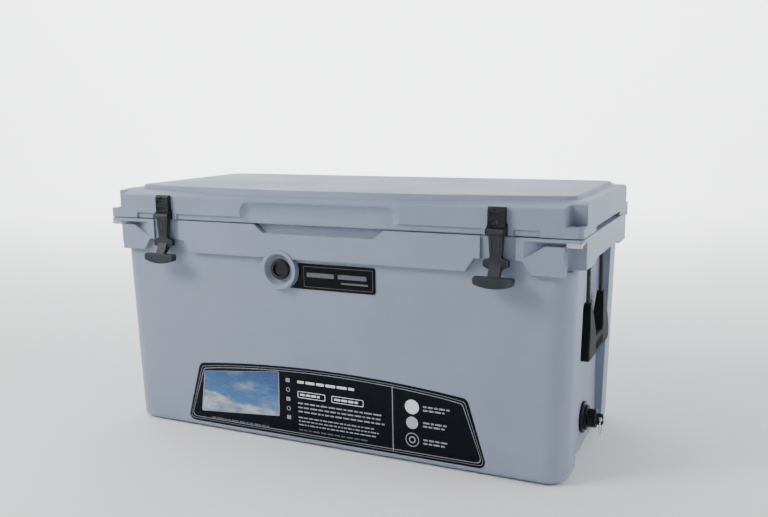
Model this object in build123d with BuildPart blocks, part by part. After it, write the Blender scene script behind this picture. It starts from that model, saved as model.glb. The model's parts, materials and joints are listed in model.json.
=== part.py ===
from build123d import *
import os
from math import atan2, cos, radians, sin

# A rotomoulded cooler chest: foam-filled tub and lid, rubber T-latches, rope handles, drain and vent.
# Millimetres. X runs along the chest, the front faces -Y, Z is up and Z = 0 is the floor.

# ---- overall ----
HALF_LENGTH = 430.0  # over the belt and the lid
HALF_DEPTH = 198.0
TUB_BASE = 3.0  # the moulding's underside, held up by the feet
RIM = 383.5  # the tub's top face
LID_BASE = 385.0  # the lid's bearing face, the seam left above the rim
LID_SHOULDER = 434.0  # flat border of the lid's top
LID_FRONT_EDGE = 427.0  # the border drops to this at the front
LID_TOP = 440.0
LID_SLOPE_Y = 150.0  # in front of this the border slopes down
LID_END_R = 6.0  # rounding of the top edge at both ends
PLATEAU_END = 412.0
PLATEAU_BACK = 178.0
PLATEAU_SIDE = 145.0  # the plateau's front edge where it meets the ends
PLATEAU_BOW = 185.0  # and in the middle
PLATEAU_R = 28.0
PLATEAU_TAPER = 28.0  # degrees
SKIN = 4.5
FOAM_GAP = 0.3  # foam stands this far off the skin

# ---- tub walls, drafted outwards towards the rim ----
WALL_X_LOW = 408.0
WALL_X_TOP = 417.4
WALL_Y_LOW = 184.0
WALL_Y_TOP = 189.85
WALL_CORNER_R = 35.0
BASE_EDGE_R = 8.0
BELT_Z = 328.0  # underside of the belt along the front and back
LEDGE_Z = 336.0  # underside of the belt at the ends
LEDGE_MID_Z = 343.0
LEDGE_MID_HALF = 85.0
CAVITY_X_LOW = 355.0
CAVITY_X_TOP = 365.0
CAVITY_Y_LOW = 140.0
CAVITY_Y_TOP = 147.0
CAVITY_FLOOR = 48.0
CAVITY_FLOOR_R = 20.0

# ---- corner tie-down notches, bridged by the lid's tab and the tub's flange ----
NOTCH_X = 404.0
NOTCH_Y = 171.0
NOTCH_R = 6.0
NOTCH_LOW = 333.0
FLANGE_Z = 378.0
TAB_TOP = 401.0
TAB_CORNER_R = 8.0
LOCK_X = 417.0
LOCK_Y = 184.0
LOCK_R = 5.25
POCKET_Z = 372.0
POCKET_DEPTH = 12.0
POCKET_START = 340.0
POCKET_START_Z = 350.5
POCKET_BEND = 375.5
POCKET_END = 412.0

# ---- end recesses and rope handles ----
RECESS_X = 396.0
RECESS_HALF = 110.0
ROPE_R = 3.5
ROPE_X = 411.0
ROPE_Y = 54.0
ROPE_TOP = 335.0
ROPE_BEND_R = 27.0
ROPE_LOW = 185.0
FERRULE_R = 6.95
FERRULE_BORE_R = 7.0
FERRULE_TOP = 370.0
COLLAR_R = 9.5
COLLAR_Z = 338.5
GRIP_BACK = 401.0
GRIP_FRONT = 421.0
GRIP_LOW = 172.0
GRIP_SHOULDER = 194.0
GRIP_TIP = 262.0  # where the upturned ends let the rope out
GRIP_HALF = 85.0
GRIP_HAND_Z = 201.0  # top of the bar in the hand
GRIP_HAND_HALF = 27.0
GRIP_TIP_HALF = 5.2
GRIP_TIP_R = 2.0
GRIP_TIP_THIN = 4.8  # the bar thins by this on each face towards the tips
GRIP_THIN_START = 208.0
GRIP_CORNER_R = 8.0
GRIP_EDGE_R = 3.5

# ---- front features ----
RECESS_FINGER_TOP = 127.0
RECESS_FINGER_LOW = 102.0
RECESS_FINGER_Z = 369.5
RECESS_FINGER_DEPTH = 12.0
SCOOP_R = 22.0
SCOOP_Y = 211.5
SCOOP_Z = 403.0
SCOOP_HALF = 130.0
END_SLOT_X = 418.0  # finger slots under the lid's ends
END_SLOT_H = 7.5
END_SLOT_HALF = 105.0
REBATE_TOP = 394.5  # the lid's front steps back below this
REBATE_DEPTH = 3.0
REBATE_HALF = 368.0

# ---- latches ----
LATCH_X = 305.0
LATCH_PIN_Y = 207.0
LATCH_PIN_Z = 391.0
LATCH_PIN_R = 2.0
LATCH_GAP = 24.0  # half-width of the break in the lid's rebate
CHANNEL_HALF = 27.0
CHANNEL_DEPTH = 4.0
LATCH_NOTCH_Z = 348.5
LATCH_NOTCH_LOW = 50.5
LATCH_NOTCH_TOP = 37.0
BRACKET_TOP = 428.0
BRACKET_SCREW_Z = (405.0, 422.0)

# ---- hinge ----
HINGE_X = 280.0
HINGE_Y = 208.0
HINGE_Z = 384.5
KNUCKLE_R = 8.5
KNUCKLE_HALF = 25.0
LUG_WIDTH = 20.0
LUG_GAP = 0.5
HINGE_PIN_R = 4.0
LUG_BORE_R = 4.02
KNUCKLE_BORE_R = 4.05

# ---- vent, drain, small parts ----
VENT_X = -73.5
VENT_Z = 309.0
VENT_RING_R = 33.0
VENT_RING_FACE = 200.0
VENT_DISH_R = 27.0
VENT_DISH_LOW_R = 22.5
VENT_FLOOR = 190.0
VENT_TUBE_R = 13.0
VENT_HOLE_R = 13.3
VENT_INNER = 138.0
BUTTON_R = 11.0
BUTTON_FACE = 194.0
DRAIN_Z = 52.0
DRAIN_TUBE_R = 11.0
DRAIN_HOLE_R = 11.3
DRAIN_BORE_R = 8.5
DRAIN_SUMP_R = 15.5
FOOT_R = 20.0
FOOT_X = 360.0
FOOT_Y = 140.0
FOOT_H = 7.0
PORT_R = 18.0
PORT_FIT = 0.1
PORT_MARK_R = 14.0  # shallow ring moulded in each fill plug
PORT_X = 200.0
GASKET_HALF_X = 385.0
GASKET_HALF_Y = 165.0
GASKET_W = 8.0
GASKET_FIT = 0.3
GASKET_LIFT = 0.2  # the seal's face clears the rim by this
GROOVE_DEPTH = 5.0
GROOVE_R = 53.0
PLUG_INSET = 8.0
PLUG_DEPTH = 10.0
NAMEPLATE_T = 2.0
NAMEPLATE_LEFT = -60.0
NAMEPLATE_RIGHT = 101.0
NAMEPLATE_LOW = 278.0
NAMEPLATE_TOP = 321.0
NAMEPLATE_CORNER_R = 4.0
NAMEPLATE_BEVEL = 0.5
LABEL_T = 1.3
LABEL_RECESS = 1.5

WALL_TILT = atan2(WALL_Y_TOP - WALL_Y_LOW, RIM - TUB_BASE)
FRONT_WALL = Plane(
    origin=(0, -WALL_Y_LOW, TUB_BASE),
    x_dir=(1, 0, 0),
    z_dir=(0, -cos(WALL_TILT), -sin(WALL_TILT)),
)
CORNERS = [(1, 1), (1, -1), (-1, 1), (-1, -1)]
SIDES = [("left", -1), ("right", 1)]

os.makedirs("parts", exist_ok=True)


def save(name, piece):
    piece.part.label = name
    export_step(piece.part, f"parts/{name}.step")


def slab(x0, x1, y0, y1, z0, z1, mode=Mode.ADD):
    """A box between two corners, added to or cut from the part being built."""
    with Locations(((x0 + x1) / 2, (y0 + y1) / 2, (z0 + z1) / 2)):
        Box(x1 - x0, y1 - y0, z1 - z0, mode=mode)


def rod_x(x0, x1, y, z, radius, mode=Mode.ADD):
    with Locations(((x0 + x1) / 2, y, z)):
        Cylinder(radius, x1 - x0, rotation=(0, 90, 0), mode=mode)


def rod_y(x, y0, y1, z, radius, mode=Mode.ADD):
    with Locations((x, (y0 + y1) / 2, z)):
        Cylinder(radius, y1 - y0, rotation=(90, 0, 0), mode=mode)


def rod_z(x, y, z0, z1, radius, mode=Mode.ADD):
    with Locations((x, y, (z0 + z1) / 2)):
        Cylinder(radius, z1 - z0, mode=mode)


def corner_cuts(grow, z0, z1):
    """The square notches at the four corners."""
    side = 80.0
    with BuildSketch(Plane.XY.offset(z0)) as squares:
        for sx, sy in CORNERS:
            with Locations((sx * (NOTCH_X - grow + side / 2), sy * (NOTCH_Y - grow + side / 2))):
                RectangleRounded(side, side, NOTCH_R + grow)
    extrude(squares.sketch, amount=z1 - z0, mode=Mode.SUBTRACT)


# ------------------------------------------------------------------ tub
def cavity(grow):
    """The cold space inside the tub, larger all round by grow."""
    with BuildPart() as space:
        with BuildSketch(Plane.XY.offset(CAVITY_FLOOR - grow)):
            RectangleRounded(2 * (CAVITY_X_LOW + grow), 2 * (CAVITY_Y_LOW + grow), WALL_CORNER_R + grow)
        with BuildSketch(Plane.XY.offset(RIM)):
            RectangleRounded(2 * (CAVITY_X_TOP + grow), 2 * (CAVITY_Y_TOP + grow), WALL_CORNER_R + grow)
        loft()
        fillet(space.edges().group_by(Axis.Z)[0], CAVITY_FLOOR_R + grow)
        rod_x(330, CAVITY_X_LOW + 0.6 + grow, 0, DRAIN_Z, DRAIN_SUMP_R + grow)
    return space.part


def tub_form(inset):
    """The tub's outer form, drawn in by inset on every side."""
    pockets = [corner_pocket(sx, inset) for _, sx in SIDES]
    with BuildPart() as form:
        with BuildSketch(Plane.XY.offset(TUB_BASE + inset)):
            RectangleRounded(2 * (WALL_X_LOW - inset), 2 * (WALL_Y_LOW - inset), WALL_CORNER_R - inset)
        with BuildSketch(Plane.XY.offset(RIM - inset)):
            RectangleRounded(2 * (WALL_X_TOP - inset), 2 * (WALL_Y_TOP - inset), WALL_CORNER_R - inset)
        loft()
        fillet(form.edges().group_by(Axis.Z)[0], BASE_EDGE_R - inset * 0.6)
        with BuildSketch(Plane.YZ):
            with BuildLine():
                Polyline(
                    (-HALF_DEPTH + inset, BELT_Z + inset),
                    (HALF_DEPTH - inset, BELT_Z + inset),
                    (HALF_DEPTH - inset, RIM - inset),
                    (-HALF_DEPTH + inset, RIM - inset),
                    close=True,
                )
            make_face()
        extrude(amount=NOTCH_X - inset, both=True)
        slab(
            -HALF_LENGTH + inset,
            HALF_LENGTH - inset,
            -NOTCH_Y + inset,
            NOTCH_Y - inset,
            LEDGE_Z + inset,
            RIM - inset,
        )
        if inset == 0:
            with BuildSketch(Plane.XY.offset(FLANGE_Z)):
                RectangleRounded(2 * HALF_LENGTH, 2 * HALF_DEPTH, TAB_CORNER_R)
            extrude(amount=RIM - FLANGE_Z)
            rod_y(VENT_X, -VENT_RING_FACE, -VENT_FLOOR + 6, VENT_Z, VENT_RING_R)
        corner_cuts(inset, NOTCH_LOW - inset, FLANGE_Z if inset == 0 else RIM)
        for _, sx in SIDES:
            with BuildSketch(Plane.YZ.offset(sx * (RECESS_X - inset))):
                with BuildLine():
                    Polyline(
                        (-RECESS_HALF - inset, -10),
                        (-RECESS_HALF - inset, LEDGE_Z + inset),
                        (-LEDGE_MID_HALF, LEDGE_MID_Z + inset),
                        (LEDGE_MID_HALF, LEDGE_MID_Z + inset),
                        (RECESS_HALF + inset, LEDGE_Z + inset),
                        (RECESS_HALF + inset, -10),
                        close=True,
                    )
                make_face()
            extrude(amount=sx * 60, mode=Mode.SUBTRACT)
            latch_relief(sx, inset)
        for pocket in pockets:
            add(pocket, mode=Mode.SUBTRACT)
        finger_recess(inset)
        if inset == 0:
            with Locations(Location((VENT_X, -(VENT_FLOOR + VENT_RING_FACE) / 2, VENT_Z), (90, 0, 0))):
                Cone(VENT_DISH_LOW_R, VENT_DISH_R, VENT_RING_FACE - VENT_FLOOR, mode=Mode.SUBTRACT)
        else:
            rod_y(VENT_X, -HALF_DEPTH - 5, -VENT_FLOOR + inset, VENT_Z, VENT_DISH_R + inset, Mode.SUBTRACT)
        for sx, sy in CORNERS:
            rod_z(sx * FOOT_X, sy * FOOT_Y, -5, FOOT_H + inset, FOOT_R + 0.2 + inset, Mode.SUBTRACT)
    return form.part


def latch_relief(sx, grow):
    """Under each latch the belt opens in a flared notch, with a shallow channel above it."""
    x = sx * LATCH_X
    with BuildSketch(Plane.XZ.offset(WALL_Y_LOW + 5 - grow)) as notch:
        with BuildLine():
            Polyline(
                (x - LATCH_NOTCH_LOW - grow, BELT_Z - 12),
                (x - LATCH_NOTCH_LOW - grow, BELT_Z),
                (x - LATCH_NOTCH_TOP - grow, LATCH_NOTCH_Z + grow),
                (x + LATCH_NOTCH_TOP + grow, LATCH_NOTCH_Z + grow),
                (x + LATCH_NOTCH_LOW + grow, BELT_Z),
                (x + LATCH_NOTCH_LOW + grow, BELT_Z - 12),
                close=True,
            )
        make_face()
    extrude(notch.sketch, amount=20, mode=Mode.SUBTRACT)
    slab(
        x - CHANNEL_HALF - grow,
        x + CHANNEL_HALF + grow,
        -HALF_DEPTH - 5,
        -HALF_DEPTH + CHANNEL_DEPTH + grow,
        LATCH_NOTCH_Z,
        RIM + 5,
        Mode.SUBTRACT,
    )


def corner_pocket(sx, grow):
    """A wedge-backed pocket in the belt beside each front corner, under the flange's lip."""
    back = HALF_DEPTH - POCKET_DEPTH - grow
    with BuildPart() as pocket:
        with BuildSketch(Plane.XZ.offset(back)):
            with BuildLine():
                Polyline(
                    (sx * POCKET_START, POCKET_START_Z - grow),
                    (sx * POCKET_BEND, POCKET_Z - grow),
                    (sx * POCKET_END, POCKET_Z - grow),
                    (sx * POCKET_END, FLANGE_Z + 3 * grow),
                    (sx * POCKET_START, FLANGE_Z + 3 * grow),
                    close=True,
                )
            make_face()
        extrude(amount=30)
        with BuildSketch(Plane.XY.offset(330)):
            with BuildLine():
                Polyline(
                    (sx * (POCKET_START + 4 - 2 * grow), -HALF_DEPTH),
                    (sx * (POCKET_BEND - 3.5 - grow), -back),
                    (sx * POCKET_END, -back),
                    (sx * POCKET_END, -HALF_DEPTH - 8),
                    (sx * (POCKET_START + 4 - 2 * grow), -HALF_DEPTH - 8),
                    close=True,
                )
            make_face()
        extrude(amount=70, mode=Mode.INTERSECT)
    return pocket.part


def finger_recess(grow):
    """The hollow under the lid's front lip, where fingers go in to lift it."""
    with BuildSketch(Plane.XZ.offset(HALF_DEPTH - RECESS_FINGER_DEPTH - grow)) as mouth:
        with BuildLine():
            Polyline(
                (-RECESS_FINGER_TOP - grow, RIM + 5),
                (-RECESS_FINGER_LOW - grow, RECESS_FINGER_Z - grow),
                (RECESS_FINGER_LOW + grow, RECESS_FINGER_Z - grow),
                (RECESS_FINGER_TOP + grow, RIM + 5),
                close=True,
            )
        make_face()
    extrude(mouth.sketch, amount=20, mode=Mode.SUBTRACT)


def tub_core(gap):
    """The space between the tub's two skins, kept off every hole through them."""
    with BuildPart() as core:
        add(tub_form(gap))
        add(cavity(gap), mode=Mode.SUBTRACT)
        rod_x(CAVITY_X_LOW - 10, RECESS_X, 0, DRAIN_Z, DRAIN_HOLE_R + gap, Mode.SUBTRACT)
        rod_y(VENT_X, -HALF_DEPTH, -CAVITY_Y_LOW, VENT_Z, VENT_HOLE_R + gap, Mode.SUBTRACT)
        for _, sx in SIDES:
            for sy in (-1, 1):
                top = FERRULE_TOP + 1 + gap
                rod_z(sx * ROPE_X, sy * ROPE_Y, LEDGE_Z, top, FERRULE_BORE_R + gap, Mode.SUBTRACT)
    return core.part


LABEL_LOW = 9.0  # up the front wall from its foot
LABEL_HALF_LOW = 288.0
LABEL_HALF_TOP = 255.0
LABEL_SHOULDER = 121.0
LABEL_CROWN = 136.0
LABEL_CORNER_R = 11.0


def label_outline(shrink):
    """The label's outline in the front wall's plane: a wide foot and an arched top."""
    with BuildSketch(mode=Mode.PRIVATE) as outline:
        with BuildLine():
            foot = (LABEL_HALF_LOW - shrink, LABEL_LOW + shrink)
            shoulder = (LABEL_HALF_TOP - shrink, LABEL_SHOULDER - shrink)
            Line((-foot[0], foot[1]), foot)
            Line(foot, shoulder)
            ThreePointArc(shoulder, (0, LABEL_CROWN - shrink), (-shoulder[0], shoulder[1]))
            Line((-shoulder[0], shoulder[1]), (-foot[0], foot[1]))
        make_face()
        fillet(outline.vertices(), LABEL_CORNER_R)
    return outline.sketch


SCREWS_LATCH = [(sx * LATCH_X, z) for _, sx in SIDES for z in BRACKET_SCREW_Z]
SCREWS_PLATE = [(sx * x, y) for _, sx in SIDES for x, y in ((409.5, -178.0), (424.5, -178.0))]
SCREW_R = 2.0
SCREW_HEAD = 1.8
SCREW_HEAD_R = 3.8
PLATE_SCREW_R = 1.5
PLATE_SCREW_GRIP = 4.0  # length of thread in the flange


def tub_shell():
    with BuildPart() as piece:
        add(tub_form(0))
        add(cavity(0), mode=Mode.SUBTRACT)
        add(tub_core(SKIN), mode=Mode.SUBTRACT)
        rod_x(CAVITY_X_LOW - 10, RECESS_X + 5, 0, DRAIN_Z, DRAIN_HOLE_R, Mode.SUBTRACT)
        rod_y(VENT_X, -VENT_FLOOR - 1, -CAVITY_Y_LOW, VENT_Z, VENT_HOLE_R, Mode.SUBTRACT)
        for _, sx in SIDES:
            rod_z(sx * PORT_X, 0, 0, TUB_BASE + SKIN + 1, PORT_R, Mode.SUBTRACT)
            rod_z(sx * LOCK_X, -LOCK_Y, FLANGE_Z - 1, RIM + 1, LOCK_R, Mode.SUBTRACT)
            for sy in (-1, 1):
                rod_z(sx * ROPE_X, sy * ROPE_Y, LEDGE_Z, FERRULE_TOP + 1, FERRULE_BORE_R, Mode.SUBTRACT)
            for side in (-1, 1):
                near = KNUCKLE_HALF + LUG_GAP
                x0 = sx * HINGE_X + (near if side > 0 else -near - LUG_WIDTH)
                hinge_ear(x0, LUG_WIDTH, -1)
                rod_x(x0 - 1, x0 + LUG_WIDTH + 1, HINGE_Y, HINGE_Z, LUG_BORE_R, Mode.SUBTRACT)
        for x, y in SCREWS_PLATE:
            rod_z(x, y, FLANGE_Z - 1, FLANGE_Z + PLATE_SCREW_GRIP + 0.5, PLATE_SCREW_R + 0.05, Mode.SUBTRACT)
        with BuildSketch(FRONT_WALL.offset(-LABEL_RECESS)):
            add(label_outline(0))
        extrude(amount=5, mode=Mode.SUBTRACT)
    save("tub_shell", piece)


def hinge_ear(x0, width, up):
    """A hinge knuckle and the web that ties it to the belt (up = -1) or to the lid (up = 1)."""
    reach = KNUCKLE_R * sin(radians(45))
    web_z = HINGE_Z + up * 1.5
    with BuildSketch(Plane.YZ.offset(x0)) as ear:
        with BuildLine():
            Polyline(
                (HALF_DEPTH - 1, web_z),
                (HINGE_Y, web_z),
                (HINGE_Y + reach, HINGE_Z + up * reach),
                (HALF_DEPTH - 1, HINGE_Z + up * (2 * reach + HINGE_Y - HALF_DEPTH + 1)),
                close=True,
            )
        make_face()
        with Locations((HINGE_Y, HINGE_Z)):
            Circle(KNUCKLE_R)
    extrude(ear.sketch, amount=width)


def tub_foam():
    with BuildPart() as piece:
        add(tub_core(SKIN + FOAM_GAP))
    save("tub_foam", piece)


def tub_fill_plugs():
    with BuildPart() as piece:
        for _, sx in SIDES:
            with BuildSketch(Plane.XY.offset(TUB_BASE + 1)):
                with Locations((sx * PORT_X, 0)):
                    Circle(PORT_R - PORT_FIT)
            extrude(amount=SKIN - 1)
            with BuildSketch(Plane.XY.offset(TUB_BASE + 1)):
                with Locations((sx * PORT_X, 0)):
                    Circle(PORT_MARK_R)
                    Circle(PORT_MARK_R - 2, mode=Mode.SUBTRACT)
            extrude(amount=1, mode=Mode.SUBTRACT)
    save("tub_fill_plugs", piece)


def rubber_feet():
    with BuildPart() as piece:
        for sx, sy in CORNERS:
            rod_z(sx * FOOT_X, sy * FOOT_Y, 0, FOOT_H, FOOT_R)
        chamfer(piece.edges().group_by(Axis.Z)[0], 1.0)
    save("rubber_feet", piece)


# ------------------------------------------------------------------ lid
def lid_form(inset):
    """The lid's outer form, drawn in by inset on every side."""
    with BuildPart() as form:
        with BuildSketch(Plane.YZ) as section:
            with BuildLine():
                Polyline(
                    (-HALF_DEPTH + inset, LID_BASE + inset),
                    (-HALF_DEPTH + inset, LID_FRONT_EDGE - inset),
                    (-LID_SLOPE_Y, LID_SHOULDER - inset),
                    (HALF_DEPTH - inset, LID_SHOULDER - inset),
                    (HALF_DEPTH - inset, LID_BASE + inset),
                    close=True,
                )
            make_face()
            tops = section.vertices().group_by(Axis.Y)
            fillet(tops[-1].sort_by(Axis.X)[-1], 6)
            fillet(section.vertices().sort_by(Axis.X).filter_by_position(Axis.Y, 410, 430)[0], 4)
        extrude(amount=HALF_LENGTH - inset, both=True)
        end = HALF_LENGTH - inset - LID_END_R
        crown = LID_SHOULDER - inset - LID_END_R
        with BuildSketch(Plane.XZ):
            for _, sx in SIDES:
                with Locations((sx * (end + LID_END_R), crown + LID_END_R)):
                    Rectangle(2 * LID_END_R, 2 * LID_END_R)
                with Locations((sx * end, crown)):
                    Circle(LID_END_R, mode=Mode.SUBTRACT)
        extrude(amount=HALF_DEPTH + 10, both=True, mode=Mode.SUBTRACT)
        with BuildSketch(Plane.XY.offset(LID_FRONT_EDGE)) as plateau:
            with BuildLine():
                edge_x = PLATEAU_END - inset
                back_y = PLATEAU_BACK - inset
                side_y = inset - PLATEAU_SIDE
                Line((edge_x, side_y), (edge_x, back_y))
                Line((edge_x, back_y), (-edge_x, back_y))
                Line((-edge_x, back_y), (-edge_x, side_y))
                ThreePointArc((-edge_x, side_y), (0, inset - PLATEAU_BOW), (edge_x, side_y))
            make_face()
            fillet(plateau.vertices(), PLATEAU_R)
        extrude(amount=LID_TOP - LID_FRONT_EDGE - inset, taper=PLATEAU_TAPER)
        with BuildSketch(Plane.XY.offset(LID_BASE - PLUG_DEPTH + inset)):
            plug = PLUG_INSET + inset
            RectangleRounded(
                2 * (CAVITY_X_TOP - plug), 2 * (CAVITY_Y_TOP - plug), WALL_CORNER_R - plug
            )
        extrude(amount=PLUG_DEPTH + 10)
        corner_cuts(inset, TAB_TOP - inset, LID_TOP + 5)
        if inset > 0:
            for _, sx in SIDES:
                with Locations((sx * LOCK_X, -LOCK_Y, LID_BASE)):
                    tab_x = 2 * (LOCK_X - NOTCH_X + inset)
                    tab_y = 2 * (LOCK_Y - NOTCH_Y + inset)
                    Box(tab_x, tab_y, 60, mode=Mode.SUBTRACT)
        end_x = HALF_LENGTH - inset - 0.1
        end_y = HALF_DEPTH - inset - 0.1
        end_edges = form.edges().filter_by(lambda e: abs(e.center().X) > end_x)
        tab_edges = end_edges.filter_by(lambda e: abs(e.center().Y) > end_y)
        fillet(tab_edges, TAB_CORNER_R - inset)
        rod_x(-SCOOP_HALF, SCOOP_HALF, -SCOOP_Y, SCOOP_Z, SCOOP_R + inset, Mode.SUBTRACT)
        for _, sx in SIDES:
            with Locations((sx * SCOOP_HALF, -SCOOP_Y, SCOOP_Z)):
                Sphere(SCOOP_R + inset, mode=Mode.SUBTRACT)
            slot_x = sx * (END_SLOT_X - inset + 10)
            with Locations((slot_x, 0, LID_BASE + (END_SLOT_H + inset) / 2 - 1)):
                Box(20, 2 * (END_SLOT_HALF + inset), END_SLOT_H + inset + 2, mode=Mode.SUBTRACT)
            rod_z(sx * LOCK_X, -LOCK_Y, LID_BASE - 1, TAB_TOP + 1, LOCK_R + inset, Mode.SUBTRACT)
        break_low = LATCH_X - LATCH_GAP
        break_high = LATCH_X + LATCH_GAP
        for x0, x1 in ((-REBATE_HALF, -break_high), (-break_low, break_low), (break_high, REBATE_HALF)):
            y1 = -HALF_DEPTH + REBATE_DEPTH + inset
            z1 = REBATE_TOP + inset
            slab(x0 - inset, x1 + inset, -HALF_DEPTH - 1, y1, LID_BASE - 1, z1, Mode.SUBTRACT)
        with BuildSketch(Plane.XY.offset(LID_BASE)):
            add(gasket_ring(inset))
        extrude(amount=GROOVE_DEPTH + inset, mode=Mode.SUBTRACT)
        for x, z in SCREWS_LATCH:
            rod_y(x, -HALF_DEPTH - 1, -HALF_DEPTH + 8 + inset, z, SCREW_R + 0.05 + inset, Mode.SUBTRACT)
    return form.part


def gasket_ring(grow):
    """The seal's path around the mouth, grown to each side of its width."""
    half = GASKET_W / 2 + grow
    with BuildSketch(mode=Mode.PRIVATE) as ring:
        RectangleRounded(2 * (GASKET_HALF_X + half), 2 * (GASKET_HALF_Y + half), GROOVE_R + half)
        RectangleRounded(
            2 * (GASKET_HALF_X - half), 2 * (GASKET_HALF_Y - half), GROOVE_R - half, mode=Mode.SUBTRACT
        )
    return ring.sketch


def lid_shell():
    with BuildPart() as piece:
        add(lid_form(0))
        add(lid_form(SKIN), mode=Mode.SUBTRACT)
        for _, sx in SIDES:
            hinge_ear(sx * HINGE_X - KNUCKLE_HALF, 2 * KNUCKLE_HALF, 1)
            x0 = sx * HINGE_X - KNUCKLE_HALF - 1
            rod_x(x0, x0 + 2 * KNUCKLE_HALF + 2, HINGE_Y, HINGE_Z, KNUCKLE_BORE_R, Mode.SUBTRACT)
        plug_face = LID_BASE - PLUG_DEPTH
        rod_z(0, 0, plug_face - 1, plug_face + SKIN + 1, PORT_R, Mode.SUBTRACT)
    save("lid_shell", piece)


def lid_foam():
    with BuildPart() as piece:
        add(lid_form(SKIN + FOAM_GAP))
    save("lid_foam", piece)


def lid_fill_plug():
    with BuildPart() as piece:
        face = LID_BASE - PLUG_DEPTH + 0.5
        rod_z(0, 0, face, face + SKIN - 0.5, PORT_R - PORT_FIT)
        with BuildSketch(Plane.XY.offset(face)):
            Circle(PORT_MARK_R)
            Circle(PORT_MARK_R - 2, mode=Mode.SUBTRACT)
        extrude(amount=1, mode=Mode.SUBTRACT)
    save("lid_fill_plug", piece)


def lid_gasket():
    with BuildPart() as piece:
        with BuildSketch(Plane.XY.offset(RIM + GASKET_LIFT)):
            add(gasket_ring(-GASKET_FIT))
        extrude(amount=LID_BASE + GROOVE_DEPTH - GASKET_FIT - RIM - GASKET_LIFT)
    save("lid_gasket", piece)


CLIP_INSET = 2.6  # groove centre back from the pin's end
CLIP_T = 1.0
CLIP_R = 6.6
CLIP_MOUTH = 4.0
PIN_OVERHANG = 4.0


def hinge_pins():
    half = KNUCKLE_HALF + LUG_GAP + LUG_WIDTH + PIN_OVERHANG
    clip_x = half - CLIP_INSET
    for name, sx in SIDES:
        with BuildPart() as piece:
            x = sx * HINGE_X
            rod_x(x - half, x + half, HINGE_Y, HINGE_Z, HINGE_PIN_R)
            chamfer(piece.edges(), 0.8)
            for side in (-1, 1):
                with BuildSketch(Plane.YZ.offset(x + side * clip_x - CLIP_T / 2 - 0.1)):
                    with Locations((HINGE_Y, HINGE_Z)):
                        Circle(HINGE_PIN_R + 1)
                        Circle(HINGE_PIN_R - 0.8, mode=Mode.SUBTRACT)
                extrude(amount=CLIP_T + 0.2, mode=Mode.SUBTRACT)
        save(f"hinge_pin_{name}", piece)
    with BuildPart() as clips:
        for _, sx in SIDES:
            for side in (-1, 1):
                x = sx * HINGE_X + side * clip_x
                with BuildSketch(Plane.YZ.offset(x - CLIP_T / 2)):
                    with Locations((HINGE_Y, HINGE_Z)):
                        Circle(CLIP_R)
                        Circle(HINGE_PIN_R - 0.7, mode=Mode.SUBTRACT)
                    with Locations((HINGE_Y + 5, HINGE_Z)):
                        Rectangle(10, CLIP_MOUTH, mode=Mode.SUBTRACT)
                extrude(amount=CLIP_T)
    save("hinge_pin_clips", clips)


# ------------------------------------------------------------------ latches
EAR_INNER = 12.3
EAR_OUTER = 15.3
EAR_R = 5.4
BRACKET_FOOT = LATCH_PIN_Z - EAR_R
BRACKET_LOW = 397.2
BRACKET_HALF = 13.5
BRACKET_PROUD = 8.0
BRACKET_WINDOWS = (400.5, 413.5)
WINDOW_HALF = 9.5
WINDOW_H = 6.5
WINDOW_DEPTH = 1.8
SCREW_SEAT = 4.5  # the screw heads bear this far off the lid's face


def latch_bracket(name, sx):
    x = sx * LATCH_X
    face = -HALF_DEPTH
    with BuildPart() as piece:
        with BuildSketch(Plane.YZ.offset(x - BRACKET_HALF)):
            with BuildLine():
                Polyline(
                    (face, BRACKET_LOW),
                    (face, BRACKET_TOP),
                    (face - BRACKET_PROUD + 3, BRACKET_TOP),
                    (face - BRACKET_PROUD, BRACKET_TOP - 4),
                    (face - BRACKET_PROUD, BRACKET_LOW),
                    close=True,
                )
            make_face()
        extrude(amount=2 * BRACKET_HALF)
        slab(x - EAR_OUTER, x + EAR_OUTER, face - 2.0, face, BRACKET_FOOT, 399)
        for side in (-1, 1):
            x0 = x + (EAR_INNER if side > 0 else -EAR_OUTER)
            with BuildSketch(Plane.YZ.offset(x0)):
                with BuildLine():
                    Polyline(
                        (face, BRACKET_FOOT),
                        (-LATCH_PIN_Y, BRACKET_FOOT),
                        (-LATCH_PIN_Y, LATCH_PIN_Z + EAR_R),
                        (face, 403),
                        close=True,
                    )
                make_face()
                with Locations((-LATCH_PIN_Y, LATCH_PIN_Z)):
                    Circle(EAR_R)
            extrude(amount=EAR_OUTER - EAR_INNER)
        window = face - BRACKET_PROUD + WINDOW_DEPTH
        for z in BRACKET_WINDOWS:
            slab(x - WINDOW_HALF, x + WINDOW_HALF, face - 9, window, z, z + WINDOW_H, Mode.SUBTRACT)
        rod_x(x - 25, x + 25, -LATCH_PIN_Y, LATCH_PIN_Z, LATCH_PIN_R + 0.02, Mode.SUBTRACT)
        for z in BRACKET_SCREW_Z:
            rod_y(x, face - 9, face + 1, z, SCREW_R + 0.1, Mode.SUBTRACT)
            rod_y(x, face - 9, face - SCREW_SEAT, z, SCREW_HEAD_R + 0.2, Mode.SUBTRACT)
    save(f"latch_bracket_{name}", piece)


def latch_pin(name, sx):
    x = sx * LATCH_X
    with BuildPart() as piece:
        rod_x(x - EAR_OUTER - 0.8, x + EAR_OUTER + 0.8, -LATCH_PIN_Y, LATCH_PIN_Z, LATCH_PIN_R)
        chamfer(piece.edges(), 0.5)
    save(f"latch_pin_{name}", piece)


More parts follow.
